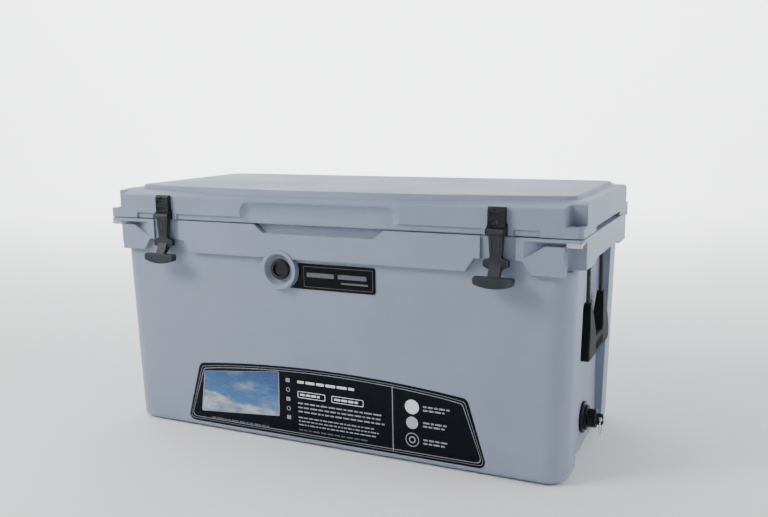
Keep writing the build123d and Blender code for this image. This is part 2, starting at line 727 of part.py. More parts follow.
STRAP_BACK = 200.2
STRAP_T = 8.0
NECK_HALF = 11.6
NECK_HALF_LOW = 9.0
BAR_HALF = 19.5
BAR_Z0 = 340.0
BAR_Z1 = 349.0
STEM_HALF = 9.0
PULL_HALF = 31.5
PULL_BACK = 212.5  # the stem curls out, so the pull stands off the wall
PULL_T = 11.5
PULL_TOP = 326.0
PULL_EDGE_Z = 321.5
PULL_SIDE_LOW = 314.5
PULL_LOW = 309.0


def latch_strap(name, sx):
    """The rubber strap: a barrel on the pin, a tapering neck, a cross bar and a T-shaped pull."""
    x = sx * LATCH_X
    with BuildPart() as piece:
        with BuildSketch(Plane.XZ.offset(STRAP_BACK)) as front:
            with BuildLine():
                Polyline(
                    (x - NECK_HALF, LATCH_PIN_Z - 2),
                    (x - NECK_HALF_LOW, BAR_Z1 + 4),
                    (x - BAR_HALF, BAR_Z1),
                    (x - BAR_HALF, BAR_Z0),
                    (x - STEM_HALF, BAR_Z0 - 5),
                    (x + STEM_HALF, BAR_Z0 - 5),
                    (x + BAR_HALF, BAR_Z0),
                    (x + BAR_HALF, BAR_Z1),
                    (x + NECK_HALF_LOW, BAR_Z1 + 4),
                    (x + NECK_HALF, LATCH_PIN_Z - 2),
                    close=True,
                )
            make_face()
            fillet(front.vertices().group_by(Axis.Y)[1:-1], 1.8)
        extrude(amount=STRAP_T)
        with BuildSketch(Plane.YZ.offset(x - STEM_HALF)) as stem:
            with BuildLine():
                Polyline(
                    (-STRAP_BACK, BAR_Z0 + 3),
                    (-STRAP_BACK - STRAP_T, BAR_Z0 + 4),
                    (-PULL_BACK - STRAP_T, PULL_TOP - 2),
                    (-PULL_BACK - STRAP_T, PULL_SIDE_LOW),
                    (-PULL_BACK - 1, PULL_SIDE_LOW),
                    (-PULL_BACK - 1, PULL_TOP - 4),
                    (-STRAP_BACK, BAR_Z0 - 4),
                    close=True,
                )
            make_face()
        extrude(amount=2 * STEM_HALF)
        with BuildSketch(Plane.XZ.offset(PULL_BACK)) as pull:
            with BuildLine():
                side = PULL_HALF - 1.5
                Line((x - PULL_HALF, PULL_EDGE_Z), (x - side, PULL_TOP))
                Line((x - side, PULL_TOP), (x + side, PULL_TOP))
                Line((x + side, PULL_TOP), (x + PULL_HALF, PULL_EDGE_Z))
                Line((x + PULL_HALF, PULL_EDGE_Z), (x + side, PULL_SIDE_LOW))
                ThreePointArc((x + side, PULL_SIDE_LOW), (x, PULL_LOW), (x - side, PULL_SIDE_LOW))
                Line((x - side, PULL_SIDE_LOW), (x - PULL_HALF, PULL_EDGE_Z))
            make_face()
            fillet(pull.vertices(), 2.5)
        extrude(amount=PULL_T)
        pull_faces = piece.faces().sort_by(Axis.Y)
        fillet(pull_faces[0].edges(), 2.2)
        rod_x(x - EAR_INNER + 0.4, x + EAR_INNER - 0.4, -LATCH_PIN_Y, LATCH_PIN_Z, EAR_R)
        rod_x(x - EAR_INNER, x + EAR_INNER, -LATCH_PIN_Y, LATCH_PIN_Z, LATCH_PIN_R + 0.06, Mode.SUBTRACT)
    save(f"latch_strap_{name}", piece)


def latch_screws():
    with BuildPart() as piece:
        for x, z in SCREWS_LATCH:
            face = -HALF_DEPTH
            rod_y(x, face - SCREW_SEAT, face + 7, z, SCREW_R)
            rod_y(x, face - SCREW_SEAT - SCREW_HEAD, face - SCREW_SEAT, z, SCREW_HEAD_R)
            for across, along in ((0.5, 2.6), (2.6, 0.5)):
                slab(x - across, x + across, face - 7, face - 5.5, z - along, z + along, Mode.SUBTRACT)
    save("latch_screws", piece)


# ------------------------------------------------------------------ corner lock plates
PLATE_T = 2.0
PLATE_INNER = 406.5
PLATE_OUTER = 428.5
PLATE_FRONT = 196.5
PLATE_BACK = 174.5
PLATE_LIP = 6.5  # depth of the turned-down front edge
PLATE_SCREW_HEAD = 1.6
PLATE_SCREW_HEAD_R = 2.9


def lock_plate(name, sx):
    x0 = min(sx * PLATE_INNER, sx * PLATE_OUTER)
    x1 = max(sx * PLATE_INNER, sx * PLATE_OUTER)
    with BuildPart() as piece:
        slab(x0, x1, -PLATE_FRONT, -PLATE_BACK, FLANGE_Z - PLATE_T, FLANGE_Z)
        slab(x0, x1, -PLATE_FRONT, -PLATE_FRONT + PLATE_T, FLANGE_Z - PLATE_LIP, FLANGE_Z)
        fillet(piece.edges().filter_by(Axis.Y).group_by(Axis.Z)[0], 0.6)
        rod_z(sx * LOCK_X, -LOCK_Y, FLANGE_Z - 9, FLANGE_Z + 1, LOCK_R, Mode.SUBTRACT)
        for x, y in SCREWS_PLATE:
            rod_z(x, y, FLANGE_Z - 3, FLANGE_Z + 1, PLATE_SCREW_R + 0.15, Mode.SUBTRACT)
    save(f"lock_plate_{name}", piece)


def lock_plate_screws():
    with BuildPart() as piece:
        for x, y in SCREWS_PLATE:
            under = FLANGE_Z - PLATE_T
            rod_z(x, y, under, FLANGE_Z + PLATE_SCREW_GRIP, PLATE_SCREW_R)
            rod_z(x, y, under - PLATE_SCREW_HEAD, under, PLATE_SCREW_HEAD_R)
    save("lock_plate_screws", piece)


# ------------------------------------------------------------------ front plates
def nameplate():
    """A plain gloss plate whose left end is scooped to follow the vent's ring."""
    plate_low = NAMEPLATE_LOW - TUB_BASE
    plate_top = NAMEPLATE_TOP - TUB_BASE
    with BuildPart() as piece:
        with BuildSketch(FRONT_WALL) as face:
            with BuildLine():
                Polyline(
                    (NAMEPLATE_LEFT, plate_low),
                    (NAMEPLATE_RIGHT, plate_low),
                    (NAMEPLATE_RIGHT, plate_top),
                    (NAMEPLATE_LEFT, plate_top),
                    close=True,
                )
            make_face()
            fillet(face.vertices().group_by(Axis.X)[-1], NAMEPLATE_CORNER_R)
            with Locations((VENT_X, VENT_Z - TUB_BASE)):
                Circle(VENT_RING_R + 1.8, mode=Mode.SUBTRACT)
        extrude(amount=NAMEPLATE_T)
        chamfer(piece.faces().sort_by(Axis.Y)[0].edges(), NAMEPLATE_BEVEL)
    save("nameplate", piece)


def front_label():
    with BuildPart() as piece:
        with BuildSketch(FRONT_WALL.offset(-LABEL_RECESS)):
            add(label_outline(0.8))
        extrude(amount=LABEL_T)
    save("front_label", piece)


# ------------------------------------------------------------------ vent valve
SPRING_R = 6.0
SPRING_WIRE_R = 0.6
SPRING_TURNS = 3.5
SPRING_GAP = 0.2
VENT_FLANGE_R = 17.5
VENT_NUT_R = 18.5
VENT_SEAT = 176.0  # the spring bears here
BUTTON_T = 10.0
STEM_R = 3.0
STEM_END = 166.0


def vent_parts():
    with BuildPart() as body:
        rod_y(VENT_X, -VENT_FLOOR - 7, -VENT_FLOOR - 1, VENT_Z, VENT_FLANGE_R)
        rod_y(VENT_X, -VENT_FLOOR - 1, -VENT_INNER, VENT_Z, VENT_TUBE_R)
        fillet(body.edges().filter_by(GeomType.CIRCLE).sort_by(Axis.Y)[0], 2.0)
        rod_y(VENT_X, -VENT_FLOOR - 8, -VENT_SEAT, VENT_Z, BUTTON_R + 0.3, Mode.SUBTRACT)
        rod_y(VENT_X, -VENT_SEAT - 1, -VENT_INNER, VENT_Z, STEM_R + 0.05, Mode.SUBTRACT)
        rod_y(VENT_X, -VENT_SEAT + 6, -VENT_INNER + 1, VENT_Z, 9.0, Mode.SUBTRACT)
        with Locations(Location((VENT_X, -VENT_SEAT + 3, VENT_Z), (90, 0, 0))):
            with PolarLocations(7.2, 6):
                Cylinder(1.2, 10, mode=Mode.SUBTRACT)
    save("vent_body", body)
    with BuildPart() as button:
        rod_y(VENT_X, -BUTTON_FACE, -BUTTON_FACE + BUTTON_T, VENT_Z, BUTTON_R)
        fillet(button.edges().filter_by(GeomType.CIRCLE).sort_by(Axis.Y)[0], 1.0)
        rod_y(VENT_X, -BUTTON_FACE + BUTTON_T, -STEM_END, VENT_Z, STEM_R)
    save("vent_button", button)
    with BuildPart() as spring:
        height = BUTTON_FACE - BUTTON_T - VENT_SEAT - 2 * SPRING_WIRE_R - 2 * SPRING_GAP
        with BuildLine():
            start = (VENT_X, -VENT_SEAT - SPRING_GAP - SPRING_WIRE_R, VENT_Z)
            coil = Helix(height / SPRING_TURNS, height, SPRING_R, center=start, direction=(0, -1, 0))
        with BuildSketch(Plane(origin=coil @ 0, z_dir=coil % 0)):
            Circle(SPRING_WIRE_R)
        sweep()
    save("vent_spring", spring)
    with BuildPart() as gasket:
        rod_y(VENT_X, -VENT_FLOOR - 1, -VENT_FLOOR, VENT_Z, 17.0)
        rod_y(VENT_X, -VENT_FLOOR - 2, -VENT_FLOOR + 1, VENT_Z, VENT_TUBE_R + 0.4, Mode.SUBTRACT)
    save("vent_gasket", gasket)
    with BuildPart() as nut:
        with BuildSketch(Plane.XZ.offset(VENT_INNER + 0.6)):
            with Locations((VENT_X, VENT_Z)):
                RegularPolygon(VENT_NUT_R, 6)
                Circle(VENT_TUBE_R + 0.05, mode=Mode.SUBTRACT)
        extrude(amount=6)
    save("vent_nut", nut)


# ------------------------------------------------------------------ drain
DRAIN_NUT_X = 348.5
DRAIN_NUT_R = 14.2
DRAIN_NUT_T = 6.0
DRAIN_FLANGE_R = 27.0
DRAIN_FLANGE_X = 401.0
DRAIN_COLLAR_R = 21.0
DRAIN_COLLAR_X = 406.0
WASHER_T = 1.5
DRAIN_SPOUT_R = 12.0
DRAIN_SPOUT_END = 416.0
CAP_START = 406.5
CAP_END = 421.0
CAP_R = 15.5
CAP_ROOF = 3.5
CAP_FLUTES = 18
CAP_LUG_END = 431.5
CAP_LUG_HALF = 10.0
CAP_LUG_R = 4.0
EYE_X = 427.0
EYE_R = 2.8
EYE_HALF = 1.6  # the eye is a slot, stretched up and down by this
RING_R = 12.0
RING_WIRE_R = 1.0
RING_HANG_Z = DRAIN_Z - EYE_HALF - EYE_R + RING_WIRE_R + 0.3


def drain_parts():
    with BuildPart() as fitting:
        rod_x(DRAIN_NUT_X - 1, DRAIN_FLANGE_X - 1, 0, DRAIN_Z, DRAIN_TUBE_R)
        rod_x(RECESS_X + WASHER_T, DRAIN_FLANGE_X, 0, DRAIN_Z, DRAIN_FLANGE_R)
        fillet(fitting.edges().filter_by(GeomType.CIRCLE).group_by(Axis.X)[-1], 1.5)
        rod_x(DRAIN_FLANGE_X - 0.5, DRAIN_COLLAR_X, 0, DRAIN_Z, DRAIN_COLLAR_R)
        rod_x(DRAIN_COLLAR_X - 1, DRAIN_SPOUT_END, 0, DRAIN_Z, DRAIN_SPOUT_R)
        rod_x(DRAIN_NUT_X - 2, DRAIN_SPOUT_END + 1, 0, DRAIN_Z, DRAIN_BORE_R, Mode.SUBTRACT)
    save("drain_fitting", fitting)
    with BuildPart() as washer:
        rod_x(RECESS_X, RECESS_X + WASHER_T, 0, DRAIN_Z, DRAIN_FLANGE_R - 1)
        rod_x(RECESS_X - 1, RECESS_X + 3, 0, DRAIN_Z, DRAIN_TUBE_R + 0.4, Mode.SUBTRACT)
    save("drain_washer", washer)
    with BuildPart() as nut:
        rod_x(DRAIN_NUT_X, DRAIN_NUT_X + DRAIN_NUT_T, 0, DRAIN_Z, DRAIN_NUT_R)
        rod_x(DRAIN_NUT_X - 1, DRAIN_NUT_X + DRAIN_NUT_T + 1, 0, DRAIN_Z, DRAIN_TUBE_R + 0.05, Mode.SUBTRACT)
        with BuildSketch(Plane.YZ.offset(DRAIN_NUT_X)):
            with Locations((0, DRAIN_Z)):
                with PolarLocations(DRAIN_NUT_R + 0.2, 12):
                    Circle(0.9)
        extrude(amount=DRAIN_NUT_T, mode=Mode.SUBTRACT)
    save("drain_nut", nut)
    with BuildPart() as cap:
        rod_x(CAP_START, CAP_END, 0, DRAIN_Z, CAP_R)
        fillet(cap.edges().filter_by(GeomType.CIRCLE).group_by(Axis.X)[-1], 2.0)
        with BuildSketch(Plane.YZ.offset(CAP_START)):
            with Locations((0, DRAIN_Z)):
                with PolarLocations(CAP_R + 0.6, CAP_FLUTES):
                    Circle(1.5)
        extrude(amount=CAP_END - CAP_START - CAP_ROOF, mode=Mode.SUBTRACT)
        rod_x(CAP_START - 1, CAP_END - CAP_ROOF, 0, DRAIN_Z, DRAIN_SPOUT_R + 0.1, Mode.SUBTRACT)
        with BuildSketch(Plane.XZ.offset(-2.0)) as lug:
            lug_length = CAP_LUG_END - CAP_END + 1
            with Locations((CAP_LUG_END - lug_length / 2, DRAIN_Z)):
                Rectangle(lug_length, 2 * CAP_LUG_HALF)
            fillet(lug.vertices().group_by(Axis.X)[-1], CAP_LUG_R)
            with Locations((EYE_X, DRAIN_Z)):
                SlotCenterToCenter(2 * EYE_HALF, 2 * EYE_R, rotation=90, mode=Mode.SUBTRACT)
        extrude(amount=4)
    save("drain_cap", cap)
    with BuildPart() as seal:
        rod_x(DRAIN_SPOUT_END + 0.1, CAP_END - CAP_ROOF, 0, DRAIN_Z, DRAIN_SPOUT_R - 0.3)
    save("drain_cap_seal", seal)
    with BuildPart() as ring:
        with Locations(Location((EYE_X, 0, RING_HANG_Z - RING_R), (0, 90, 0))):
            Torus(RING_R, RING_WIRE_R)
    save("drain_ring", ring)


# ------------------------------------------------------------------ rope handles
def rope_route(sx):
    """The rope's centre line, from one pivot down, through the grip and up to the other."""
    with BuildLine(Plane.YZ.offset(sx * ROPE_X)) as route:
        FilletPolyline(
            (-ROPE_Y, ROPE_TOP),
            (-ROPE_Y, ROPE_LOW),
            (ROPE_Y, ROPE_LOW),
            (ROPE_Y, ROPE_TOP),
            radius=ROPE_BEND_R,
        )
    return route.wire()


def handle_rope(name, sx):
    route = rope_route(sx)
    with BuildPart() as piece:
        with BuildSketch(Plane(origin=(sx * ROPE_X, -ROPE_Y, ROPE_TOP), z_dir=(0, 0, -1))):
            Circle(ROPE_R)
        sweep(path=route)
    save(f"handle_rope_{name}", piece)


def handle_grip(name, sx):
    """A moulded bar whose upturned ends carry the rope."""
    route = rope_route(sx)
    with BuildPart() as piece:
        with BuildSketch(Plane.YZ.offset(min(sx * GRIP_BACK, sx * GRIP_FRONT))) as outline:
            with BuildLine():
                Polyline(
                    (-GRIP_HALF + 2, GRIP_LOW),
                    (GRIP_HALF - 2, GRIP_LOW),
                    (GRIP_HALF, GRIP_SHOULDER),
                    (ROPE_Y + GRIP_TIP_HALF, GRIP_TIP),
                    (ROPE_Y - GRIP_TIP_HALF, GRIP_TIP),
                    (GRIP_HAND_HALF, GRIP_HAND_Z),
                    (-GRIP_HAND_HALF, GRIP_HAND_Z),
                    (-ROPE_Y + GRIP_TIP_HALF, GRIP_TIP),
                    (-ROPE_Y - GRIP_TIP_HALF, GRIP_TIP),
                    (-GRIP_HALF, GRIP_SHOULDER),
                    close=True,
                )
            make_face()
            tips = outline.vertices().group_by(Axis.Y)[-1]
            fillet(outline.vertices().group_by(Axis.Y)[:-1], GRIP_CORNER_R)
            fillet(tips, GRIP_TIP_R)
        extrude(amount=GRIP_FRONT - GRIP_BACK)
        ends = piece.faces().sort_by(Axis.X)
        fillet(ends[0].edges() + ends[-1].edges(), GRIP_EDGE_R)
        for face, cut in ((GRIP_FRONT, -GRIP_TIP_THIN), (GRIP_BACK, GRIP_TIP_THIN)):
            with BuildSketch(Plane.XZ):
                with BuildLine():
                    Polyline(
                        (sx * face, GRIP_THIN_START),
                        (sx * (face - cut), GRIP_THIN_START),
                        (sx * (face - cut), GRIP_TIP + 2),
                        (sx * (face + cut), GRIP_TIP + 2),
                        close=True,
                    )
                make_face()
            extrude(amount=GRIP_HALF + 5, both=True, mode=Mode.SUBTRACT)
        with BuildSketch(Plane(origin=(sx * ROPE_X, -ROPE_Y, ROPE_TOP), z_dir=(0, 0, -1))):
            Circle(ROPE_R + 0.3)
        sweep(path=route, mode=Mode.SUBTRACT)
    save(f"handle_grip_{name}", piece)


def rope_anchors(name, sx):
    """Ferrules pressed up into the ledge, where the rope's ends are crimped."""
    with BuildPart() as piece:
        for sy in (-1, 1):
            x = sx * ROPE_X
            y = sy * ROPE_Y
            rod_z(x, y, LEDGE_MID_Z, FERRULE_TOP, FERRULE_R)
            rod_z(x, y, COLLAR_Z, LEDGE_MID_Z, COLLAR_R)
        chamfer(piece.edges().filter_by(GeomType.CIRCLE).group_by(Axis.Z)[0], 1.0)
    save(f"rope_anchors_{name}", piece)


tub_shell()
tub_foam()
tub_fill_plugs()
rubber_feet()
lid_shell()
lid_foam()
lid_fill_plug()
lid_gasket()
hinge_pins()
for side_name, side_sign in SIDES:
    latch_bracket(side_name, side_sign)
    latch_pin(side_name, side_sign)
    latch_strap(side_name, side_sign)
    lock_plate(side_name, side_sign)
    handle_rope(side_name, side_sign)
    handle_grip(side_name, side_sign)
    rope_anchors(side_name, side_sign)
latch_screws()
lock_plate_screws()
nameplate()
front_label()
vent_parts()
drain_parts()
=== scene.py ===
import json
import math
import random

import bmesh
import bpy
from mathutils import Matrix, Vector


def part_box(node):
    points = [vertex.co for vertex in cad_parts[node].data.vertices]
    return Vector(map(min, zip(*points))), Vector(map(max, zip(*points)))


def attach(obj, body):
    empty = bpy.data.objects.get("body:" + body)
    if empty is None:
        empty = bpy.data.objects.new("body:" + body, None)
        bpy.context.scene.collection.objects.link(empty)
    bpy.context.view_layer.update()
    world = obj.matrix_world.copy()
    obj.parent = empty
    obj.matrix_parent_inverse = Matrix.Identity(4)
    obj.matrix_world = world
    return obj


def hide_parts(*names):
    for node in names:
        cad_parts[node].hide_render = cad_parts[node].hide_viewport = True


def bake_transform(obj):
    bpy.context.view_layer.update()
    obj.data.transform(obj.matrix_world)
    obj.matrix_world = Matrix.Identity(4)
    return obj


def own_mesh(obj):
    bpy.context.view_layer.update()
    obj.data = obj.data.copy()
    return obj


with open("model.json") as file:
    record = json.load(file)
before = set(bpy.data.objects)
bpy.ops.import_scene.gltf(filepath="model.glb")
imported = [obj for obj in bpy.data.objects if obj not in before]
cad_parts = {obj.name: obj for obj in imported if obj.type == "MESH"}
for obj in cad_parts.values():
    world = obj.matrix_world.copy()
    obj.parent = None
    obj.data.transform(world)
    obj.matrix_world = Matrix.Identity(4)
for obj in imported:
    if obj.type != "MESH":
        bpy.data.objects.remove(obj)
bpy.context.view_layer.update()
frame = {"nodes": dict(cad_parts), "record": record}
NODES = frame["nodes"]
MM = 0.001

# ------------------------------------------------------------------ materials
BEVEL_SAMPLES = 4


class Nodes:
    """A short way to add nodes to one material's tree and wire them up."""

    def __init__(self, name):
        self.material = bpy.data.materials.new(name)
        self.material.use_nodes = True
        self.tree = self.material.node_tree
        self.shader = self.tree.nodes["Principled BSDF"]
        self.place = self.add("ShaderNodeTexCoord").outputs["Object"]

    def add(self, kind, inputs=None, **settings):
        node = self.tree.nodes.new(kind)
        for key, value in settings.items():
            setattr(node, key, value)
        for key, value in (inputs or {}).items():
            if isinstance(value, bpy.types.NodeSocket):
                self.tree.links.new(value, node.inputs[key])
            else:
                node.inputs[key].default_value = value
        return node

    def noise(self, scale, detail=4.0, roughness=0.55, stretch=None, distortion=0.0):
        place = self.place
        if stretch:
            place = self.add("ShaderNodeMapping", {"Vector": place, "Scale": stretch}).outputs["Vector"]
        node = self.add(
            "ShaderNodeTexNoise",
            {
                "Vector": place,
                "Scale": scale,
                "Detail": detail,
                "Roughness": roughness,
                "Distortion": distortion,
            },
        )
        return node.outputs["Fac"]

    def spread(self, value, low, high, to_low=0.0, to_high=1.0):
        node = self.add(
            "ShaderNodeMapRange",
            {"Value": value, "From Min": low, "From Max": high, "To Min": to_low, "To Max": to_high},
        )
        return node.outputs["Result"]

    def mix(self, factor, one, two):
        node = self.add("ShaderNodeMix", data_type="RGBA")
        for index, value in ((0, factor), (6, one), (7, two)):
            if isinstance(value, bpy.types.NodeSocket):
                self.tree.links.new(value, node.inputs[index])
            else:
                node.inputs[index].default_value = value
        return node.outputs[2]

    def set(self, key, value):
        if isinstance(value, bpy.types.NodeSocket):
            self.tree.links.new(value, self.shader.inputs[key])
        else:
            self.shader.inputs[key].default_value = value

    def bumps(self, layers, soften=0.0):
        """Stacks height layers of (value, strength, distance in metres), over softened edges."""
        normal = None
        if soften:
            normal = self.add("ShaderNodeBevel", {"Radius": soften}, samples=BEVEL_SAMPLES).outputs["Normal"]
        for height, strength, distance in layers:
            inputs = {"Height": height, "Strength": strength, "Distance": distance}
            if normal:
                inputs["Normal"] = normal
            normal = self.add("ShaderNodeBump", inputs).outputs["Normal"]
        self.set("Normal", normal)


def rgb(red, green, blue):
    return (red, green, blue, 1.0)


def shade(colour, factor):
    return rgb(*(min(1.0, channel * factor) for channel in colour[:3]))


def moulded(name, colour, gloss=0.5, pebble=1.0, soften=2.2 * MM, shine=0.32):
    """Rotomoulded polyethylene: pebbled by the mould, faintly mottled, scuffed here and there."""
    kit = Nodes(name)
    mottle = kit.spread(kit.noise(7.0, 5.0, 0.6), 0.35, 0.65)
    tone = kit.mix(mottle, shade(colour, 0.96), shade(colour, 1.05))
    specks = kit.spread(kit.noise(900.0, 2.0), 0.62, 0.75)
    tone = kit.mix(kit.spread(specks, 0.0, 1.0, 0.0, 0.25), tone, shade(colour, 0.8))
    scuffs = kit.spread(kit.noise(38.0, 6.0, 0.7, stretch=(1.0, 1.0, 0.12), distortion=0.6), 0.66, 0.72)
    patches = kit.spread(kit.noise(5.0, 2.0), 0.5, 0.62)
    worn = kit.add("ShaderNodeMath", {0: scuffs, 1: patches}, operation="MULTIPLY").outputs[0]
    tone = kit.mix(kit.spread(worn, 0.0, 1.0, 0.0, 0.3), tone, shade(colour, 1.35))
    kit.set("Base Color", tone)
    kit.set("Roughness", kit.spread(mottle, 0.0, 1.0, gloss - 0.05, gloss + 0.08))
    kit.set("Specular IOR Level", shine)
    kit.bumps(
        [
            (kit.noise(420.0, 3.0, 0.5), 0.22 * pebble, 0.35 * MM),
            (kit.noise(26.0, 2.0, 0.4), 0.10 * pebble, 2.2 * MM),
        ],
        soften,
    )
    return kit.material


def tough_black(name, colour, gloss, grain=650.0, depth=0.2, soften=0.8 * MM, shine=0.35):
    """Black moulded plastic or rubber with a fine grain and a bloom of dust."""
    kit = Nodes(name)
    bloom = kit.spread(kit.noise(30.0, 5.0, 0.65), 0.42, 0.7)
    kit.set("Base Color", kit.mix(kit.spread(bloom, 0.0, 1.0, 0.0, 0.6), colour, shade(colour, 2.2)))
    kit.set("Roughness", kit.spread(bloom, 0.0, 1.0, gloss, gloss + 0.15))
    kit.set("Specular IOR Level", shine)
    kit.bumps([(kit.noise(grain, 2.0, 0.5), depth, 0.2 * MM)], soften)
    return kit.material


def gloss_sheet(name, colour, gloss=0.1, shine=0.1):
    """Gloss plate or laminated film: almost flat, faintly waved, with hairline scratches."""
    kit = Nodes(name)
    haze = kit.noise(14.0, 4.0)
    kit.set("Base Color", kit.mix(kit.spread(haze, 0.3, 0.7), colour, shade(colour, 1.7)))
    hairs = kit.spread(kit.noise(60.0, 3.0, 0.6, stretch=(0.3, 1.0, 9.0)), 0.55, 0.8)
    kit.set("Roughness", kit.spread(hairs, 0.0, 1.0, gloss, gloss + 0.16))
    kit.set("Specular IOR Level", shine)
    kit.bumps([(kit.noise(18.0, 2.0), 0.08, 1.0 * MM)])
    return kit.material


def printed(name, colour, rough=0.4):
    """Screen-printed ink, a little uneven in cover."""
    kit = Nodes(name)
    cover = kit.spread(kit.noise(220.0, 4.0, 0.7), 0.3, 0.7)
    kit.set("Base Color", kit.mix(cover, shade(colour, 0.82), colour))
    kit.set("Roughness", kit.spread(cover, 0.0, 1.0, rough + 0.1, rough))
    kit.bumps([(kit.noise(500.0, 2.0), 0.1, 0.05 * MM)])
    return kit.material


def steel(name, colour=rgb(0.66, 0.66, 0.67)):
    kit = Nodes(name)
    brushed = kit.noise(90.0, 4.0, 0.6, stretch=(1.0, 9.0, 9.0))
    kit.set("Base Color", kit.mix(brushed, shade(colour, 0.85), shade(colour, 1.1)))
    kit.set("Metallic", 1.0)
    kit.set("Roughness", kit.spread(brushed, 0.3, 0.7, 0.2, 0.38))
    kit.bumps([(brushed, 0.12, 0.1 * MM)], 0.3 * MM)
    return kit.material


def foam(name):
    kit = Nodes(name)
    cells = kit.add("ShaderNodeTexVoronoi", {"Vector": kit.place, "Scale": 500.0}).outputs["Distance"]
    kit.set("Base Color", kit.mix(cells, rgb(0.80, 0.70, 0.45), rgb(0.9, 0.84, 0.64)))
    kit.set("Roughness", 0.9)
    kit.bumps([(cells, 0.4, 0.5 * MM)])
    return kit.material


def cordage(name, colour):
    """Braided polypropylene: satin fibres running along each strand."""
    kit = Nodes(name)
    fibre = kit.noise(1400.0, 3.0, 0.6, stretch=(1.0, 1.0, 0.25))
    wear = kit.spread(kit.noise(60.0, 4.0), 0.4, 0.7)
    tone = kit.mix(kit.spread(fibre, 0.3, 0.7), shade(colour, 0.6), shade(colour, 1.6))
    kit.set("Base Color", kit.mix(kit.spread(wear, 0.0, 1.0, 0.0, 0.35), tone, shade(colour, 3.0)))
    kit.set("Roughness", 0.55)
    kit.set("Sheen Weight", 0.15)
    kit.bumps([(fibre, 0.5, 0.15 * MM)])
    return kit.material


def landscape(name, low, high):
    """A plain winter view for the label's picture: open sky, thin cloud and a snow slope."""
    kit = Nodes(name)
    parts = kit.add("ShaderNodeSeparateXYZ", {"Vector": kit.place})
    rise = kit.spread(parts.outputs["Z"], low, high)
    across = parts.outputs["X"]
    wander = kit.spread(kit.noise(14.0, 4.0, stretch=(1.0, 0.0, 0.0)), 0.3, 0.7, -0.07, 0.07)
    slope = kit.spread(across, -0.26, -0.09, -0.10, 0.16)
    bent = kit.add("ShaderNodeMath", {0: rise, 1: wander}, operation="ADD").outputs[0]
    bent = kit.add("ShaderNodeMath", {0: bent, 1: slope}, operation="ADD").outputs[0]
    sky = kit.mix(kit.spread(rise, 0.35, 1.0), rgb(0.035, 0.13, 0.32), rgb(0.006, 0.042, 0.16))
    cloud = kit.spread(kit.noise(26.0, 6.0, 0.62, stretch=(0.6, 1.0, 1.8)), 0.5, 0.72)
    sky = kit.mix(cloud, sky, rgb(0.17, 0.25, 0.33))
    drift = kit.spread(kit.noise(60.0, 5.0, 0.6, stretch=(0.5, 1.0, 1.6)), 0.35, 0.65)
    snow = kit.mix(drift, rgb(0.11, 0.16, 0.23), rgb(0.42, 0.47, 0.53))
    ground = kit.spread(bent, 0.37, 0.33)
    kit.set("Base Color", kit.mix(ground, sky, snow))
    kit.set("Roughness", kit.spread(drift, 0.0, 1.0, 0.22, 0.3))
    kit.set("Coat Weight", 0.2)
    kit.bumps([(kit.noise(300.0, 2.0), 0.05, 0.05 * MM)])
    return kit.material


BODY = rgb(0.245, 0.283, 0.365)
BLACK = rgb(0.0055, 0.006, 0.0075)
MATERIALS = {
    "body_plastic": moulded("tub_moulding", BODY),
    "lid_plastic": moulded("lid_moulding", shade(BODY, 1.0), shine=0.12),
    "foam": foam("core_foam"),
    "seal_rubber": tough_black("seal_rubber", BLACK, 0.6, 400.0, 0.15),
    "strap_rubber": tough_black("strap_rubber", rgb(0.018, 0.020, 0.024), 0.5, 500.0, 0.2, 1.2 * MM),
    "black_plastic": tough_black("fitting_plastic", BLACK, 0.38, 800.0, 0.15),
    "grip_plastic": tough_black("grip_plastic", BLACK, 0.62, 260.0, 0.35, 1.2 * MM, 0.2),
    "rope": cordage("rope_fibre", rgb(0.016, 0.016, 0.018)),
    "gloss_plate": gloss_sheet("plate_gloss", rgb(0.0015, 0.0015, 0.002)),
    "label_film": gloss_sheet("label_film", rgb(0.002, 0.0025, 0.005), 0.12),
    "steel": steel("bright_steel"),
    "dark_steel": steel("dark_steel", rgb(0.06, 0.06, 0.065)),
}
SLOT_OF = {entry["node"]: entry["material_slot"] for entry in frame["record"]["subparts"]}
for node_name, node in NODES.items():
    node.data.materials.clear()
    node.data.materials.append(MATERIALS[SLOT_OF[node_name]])


# ------------------------------------------------------------------ mesh helpers
def mesh_piece(name, body, material, build):
    """A new mesh piece, which build fills in metres in the object's frame. It rides body, if one is named."""
    mesh = bpy.data.meshes.new(name)
    bm = bmesh.new()
    build(bm)
    bmesh.ops.recalc_face_normals(bm, faces=bm.faces)
    bm.to_mesh(mesh)
    bm.free()
    piece = bpy.data.objects.new(name, mesh)
    bpy.context.scene.collection.objects.link(piece)
    mesh.materials.append(material)
    if body:
        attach(piece, body)
    return piece


def prism(bm, outline, place, low, high, hole=None):
    """A thin printed or moulded shape: an outline in sheet coordinates, raised from low to high."""
    loops = [outline] + ([hole] if hole else [])
    rims = []
    for level in (low, high):
        rims.append([[bm.verts.new(place(x, y, level)) for x, y in loop] for loop in loops])
    for upper, lower in zip(rims[1], rims[0]):
        for i in range(len(upper)):
            j = (i + 1) % len(upper)
            bm.faces.new((lower[i], lower[j], upper[j], upper[i]))
    for rim in rims:
        if hole:
            outer, inner = rim
            for i in range(len(outer)):
                j = (i + 1) % len(outer)
                bm.faces.new((outer[i], outer[j], inner[j], inner[i]))
        else:
            bm.faces.new(rim[0])


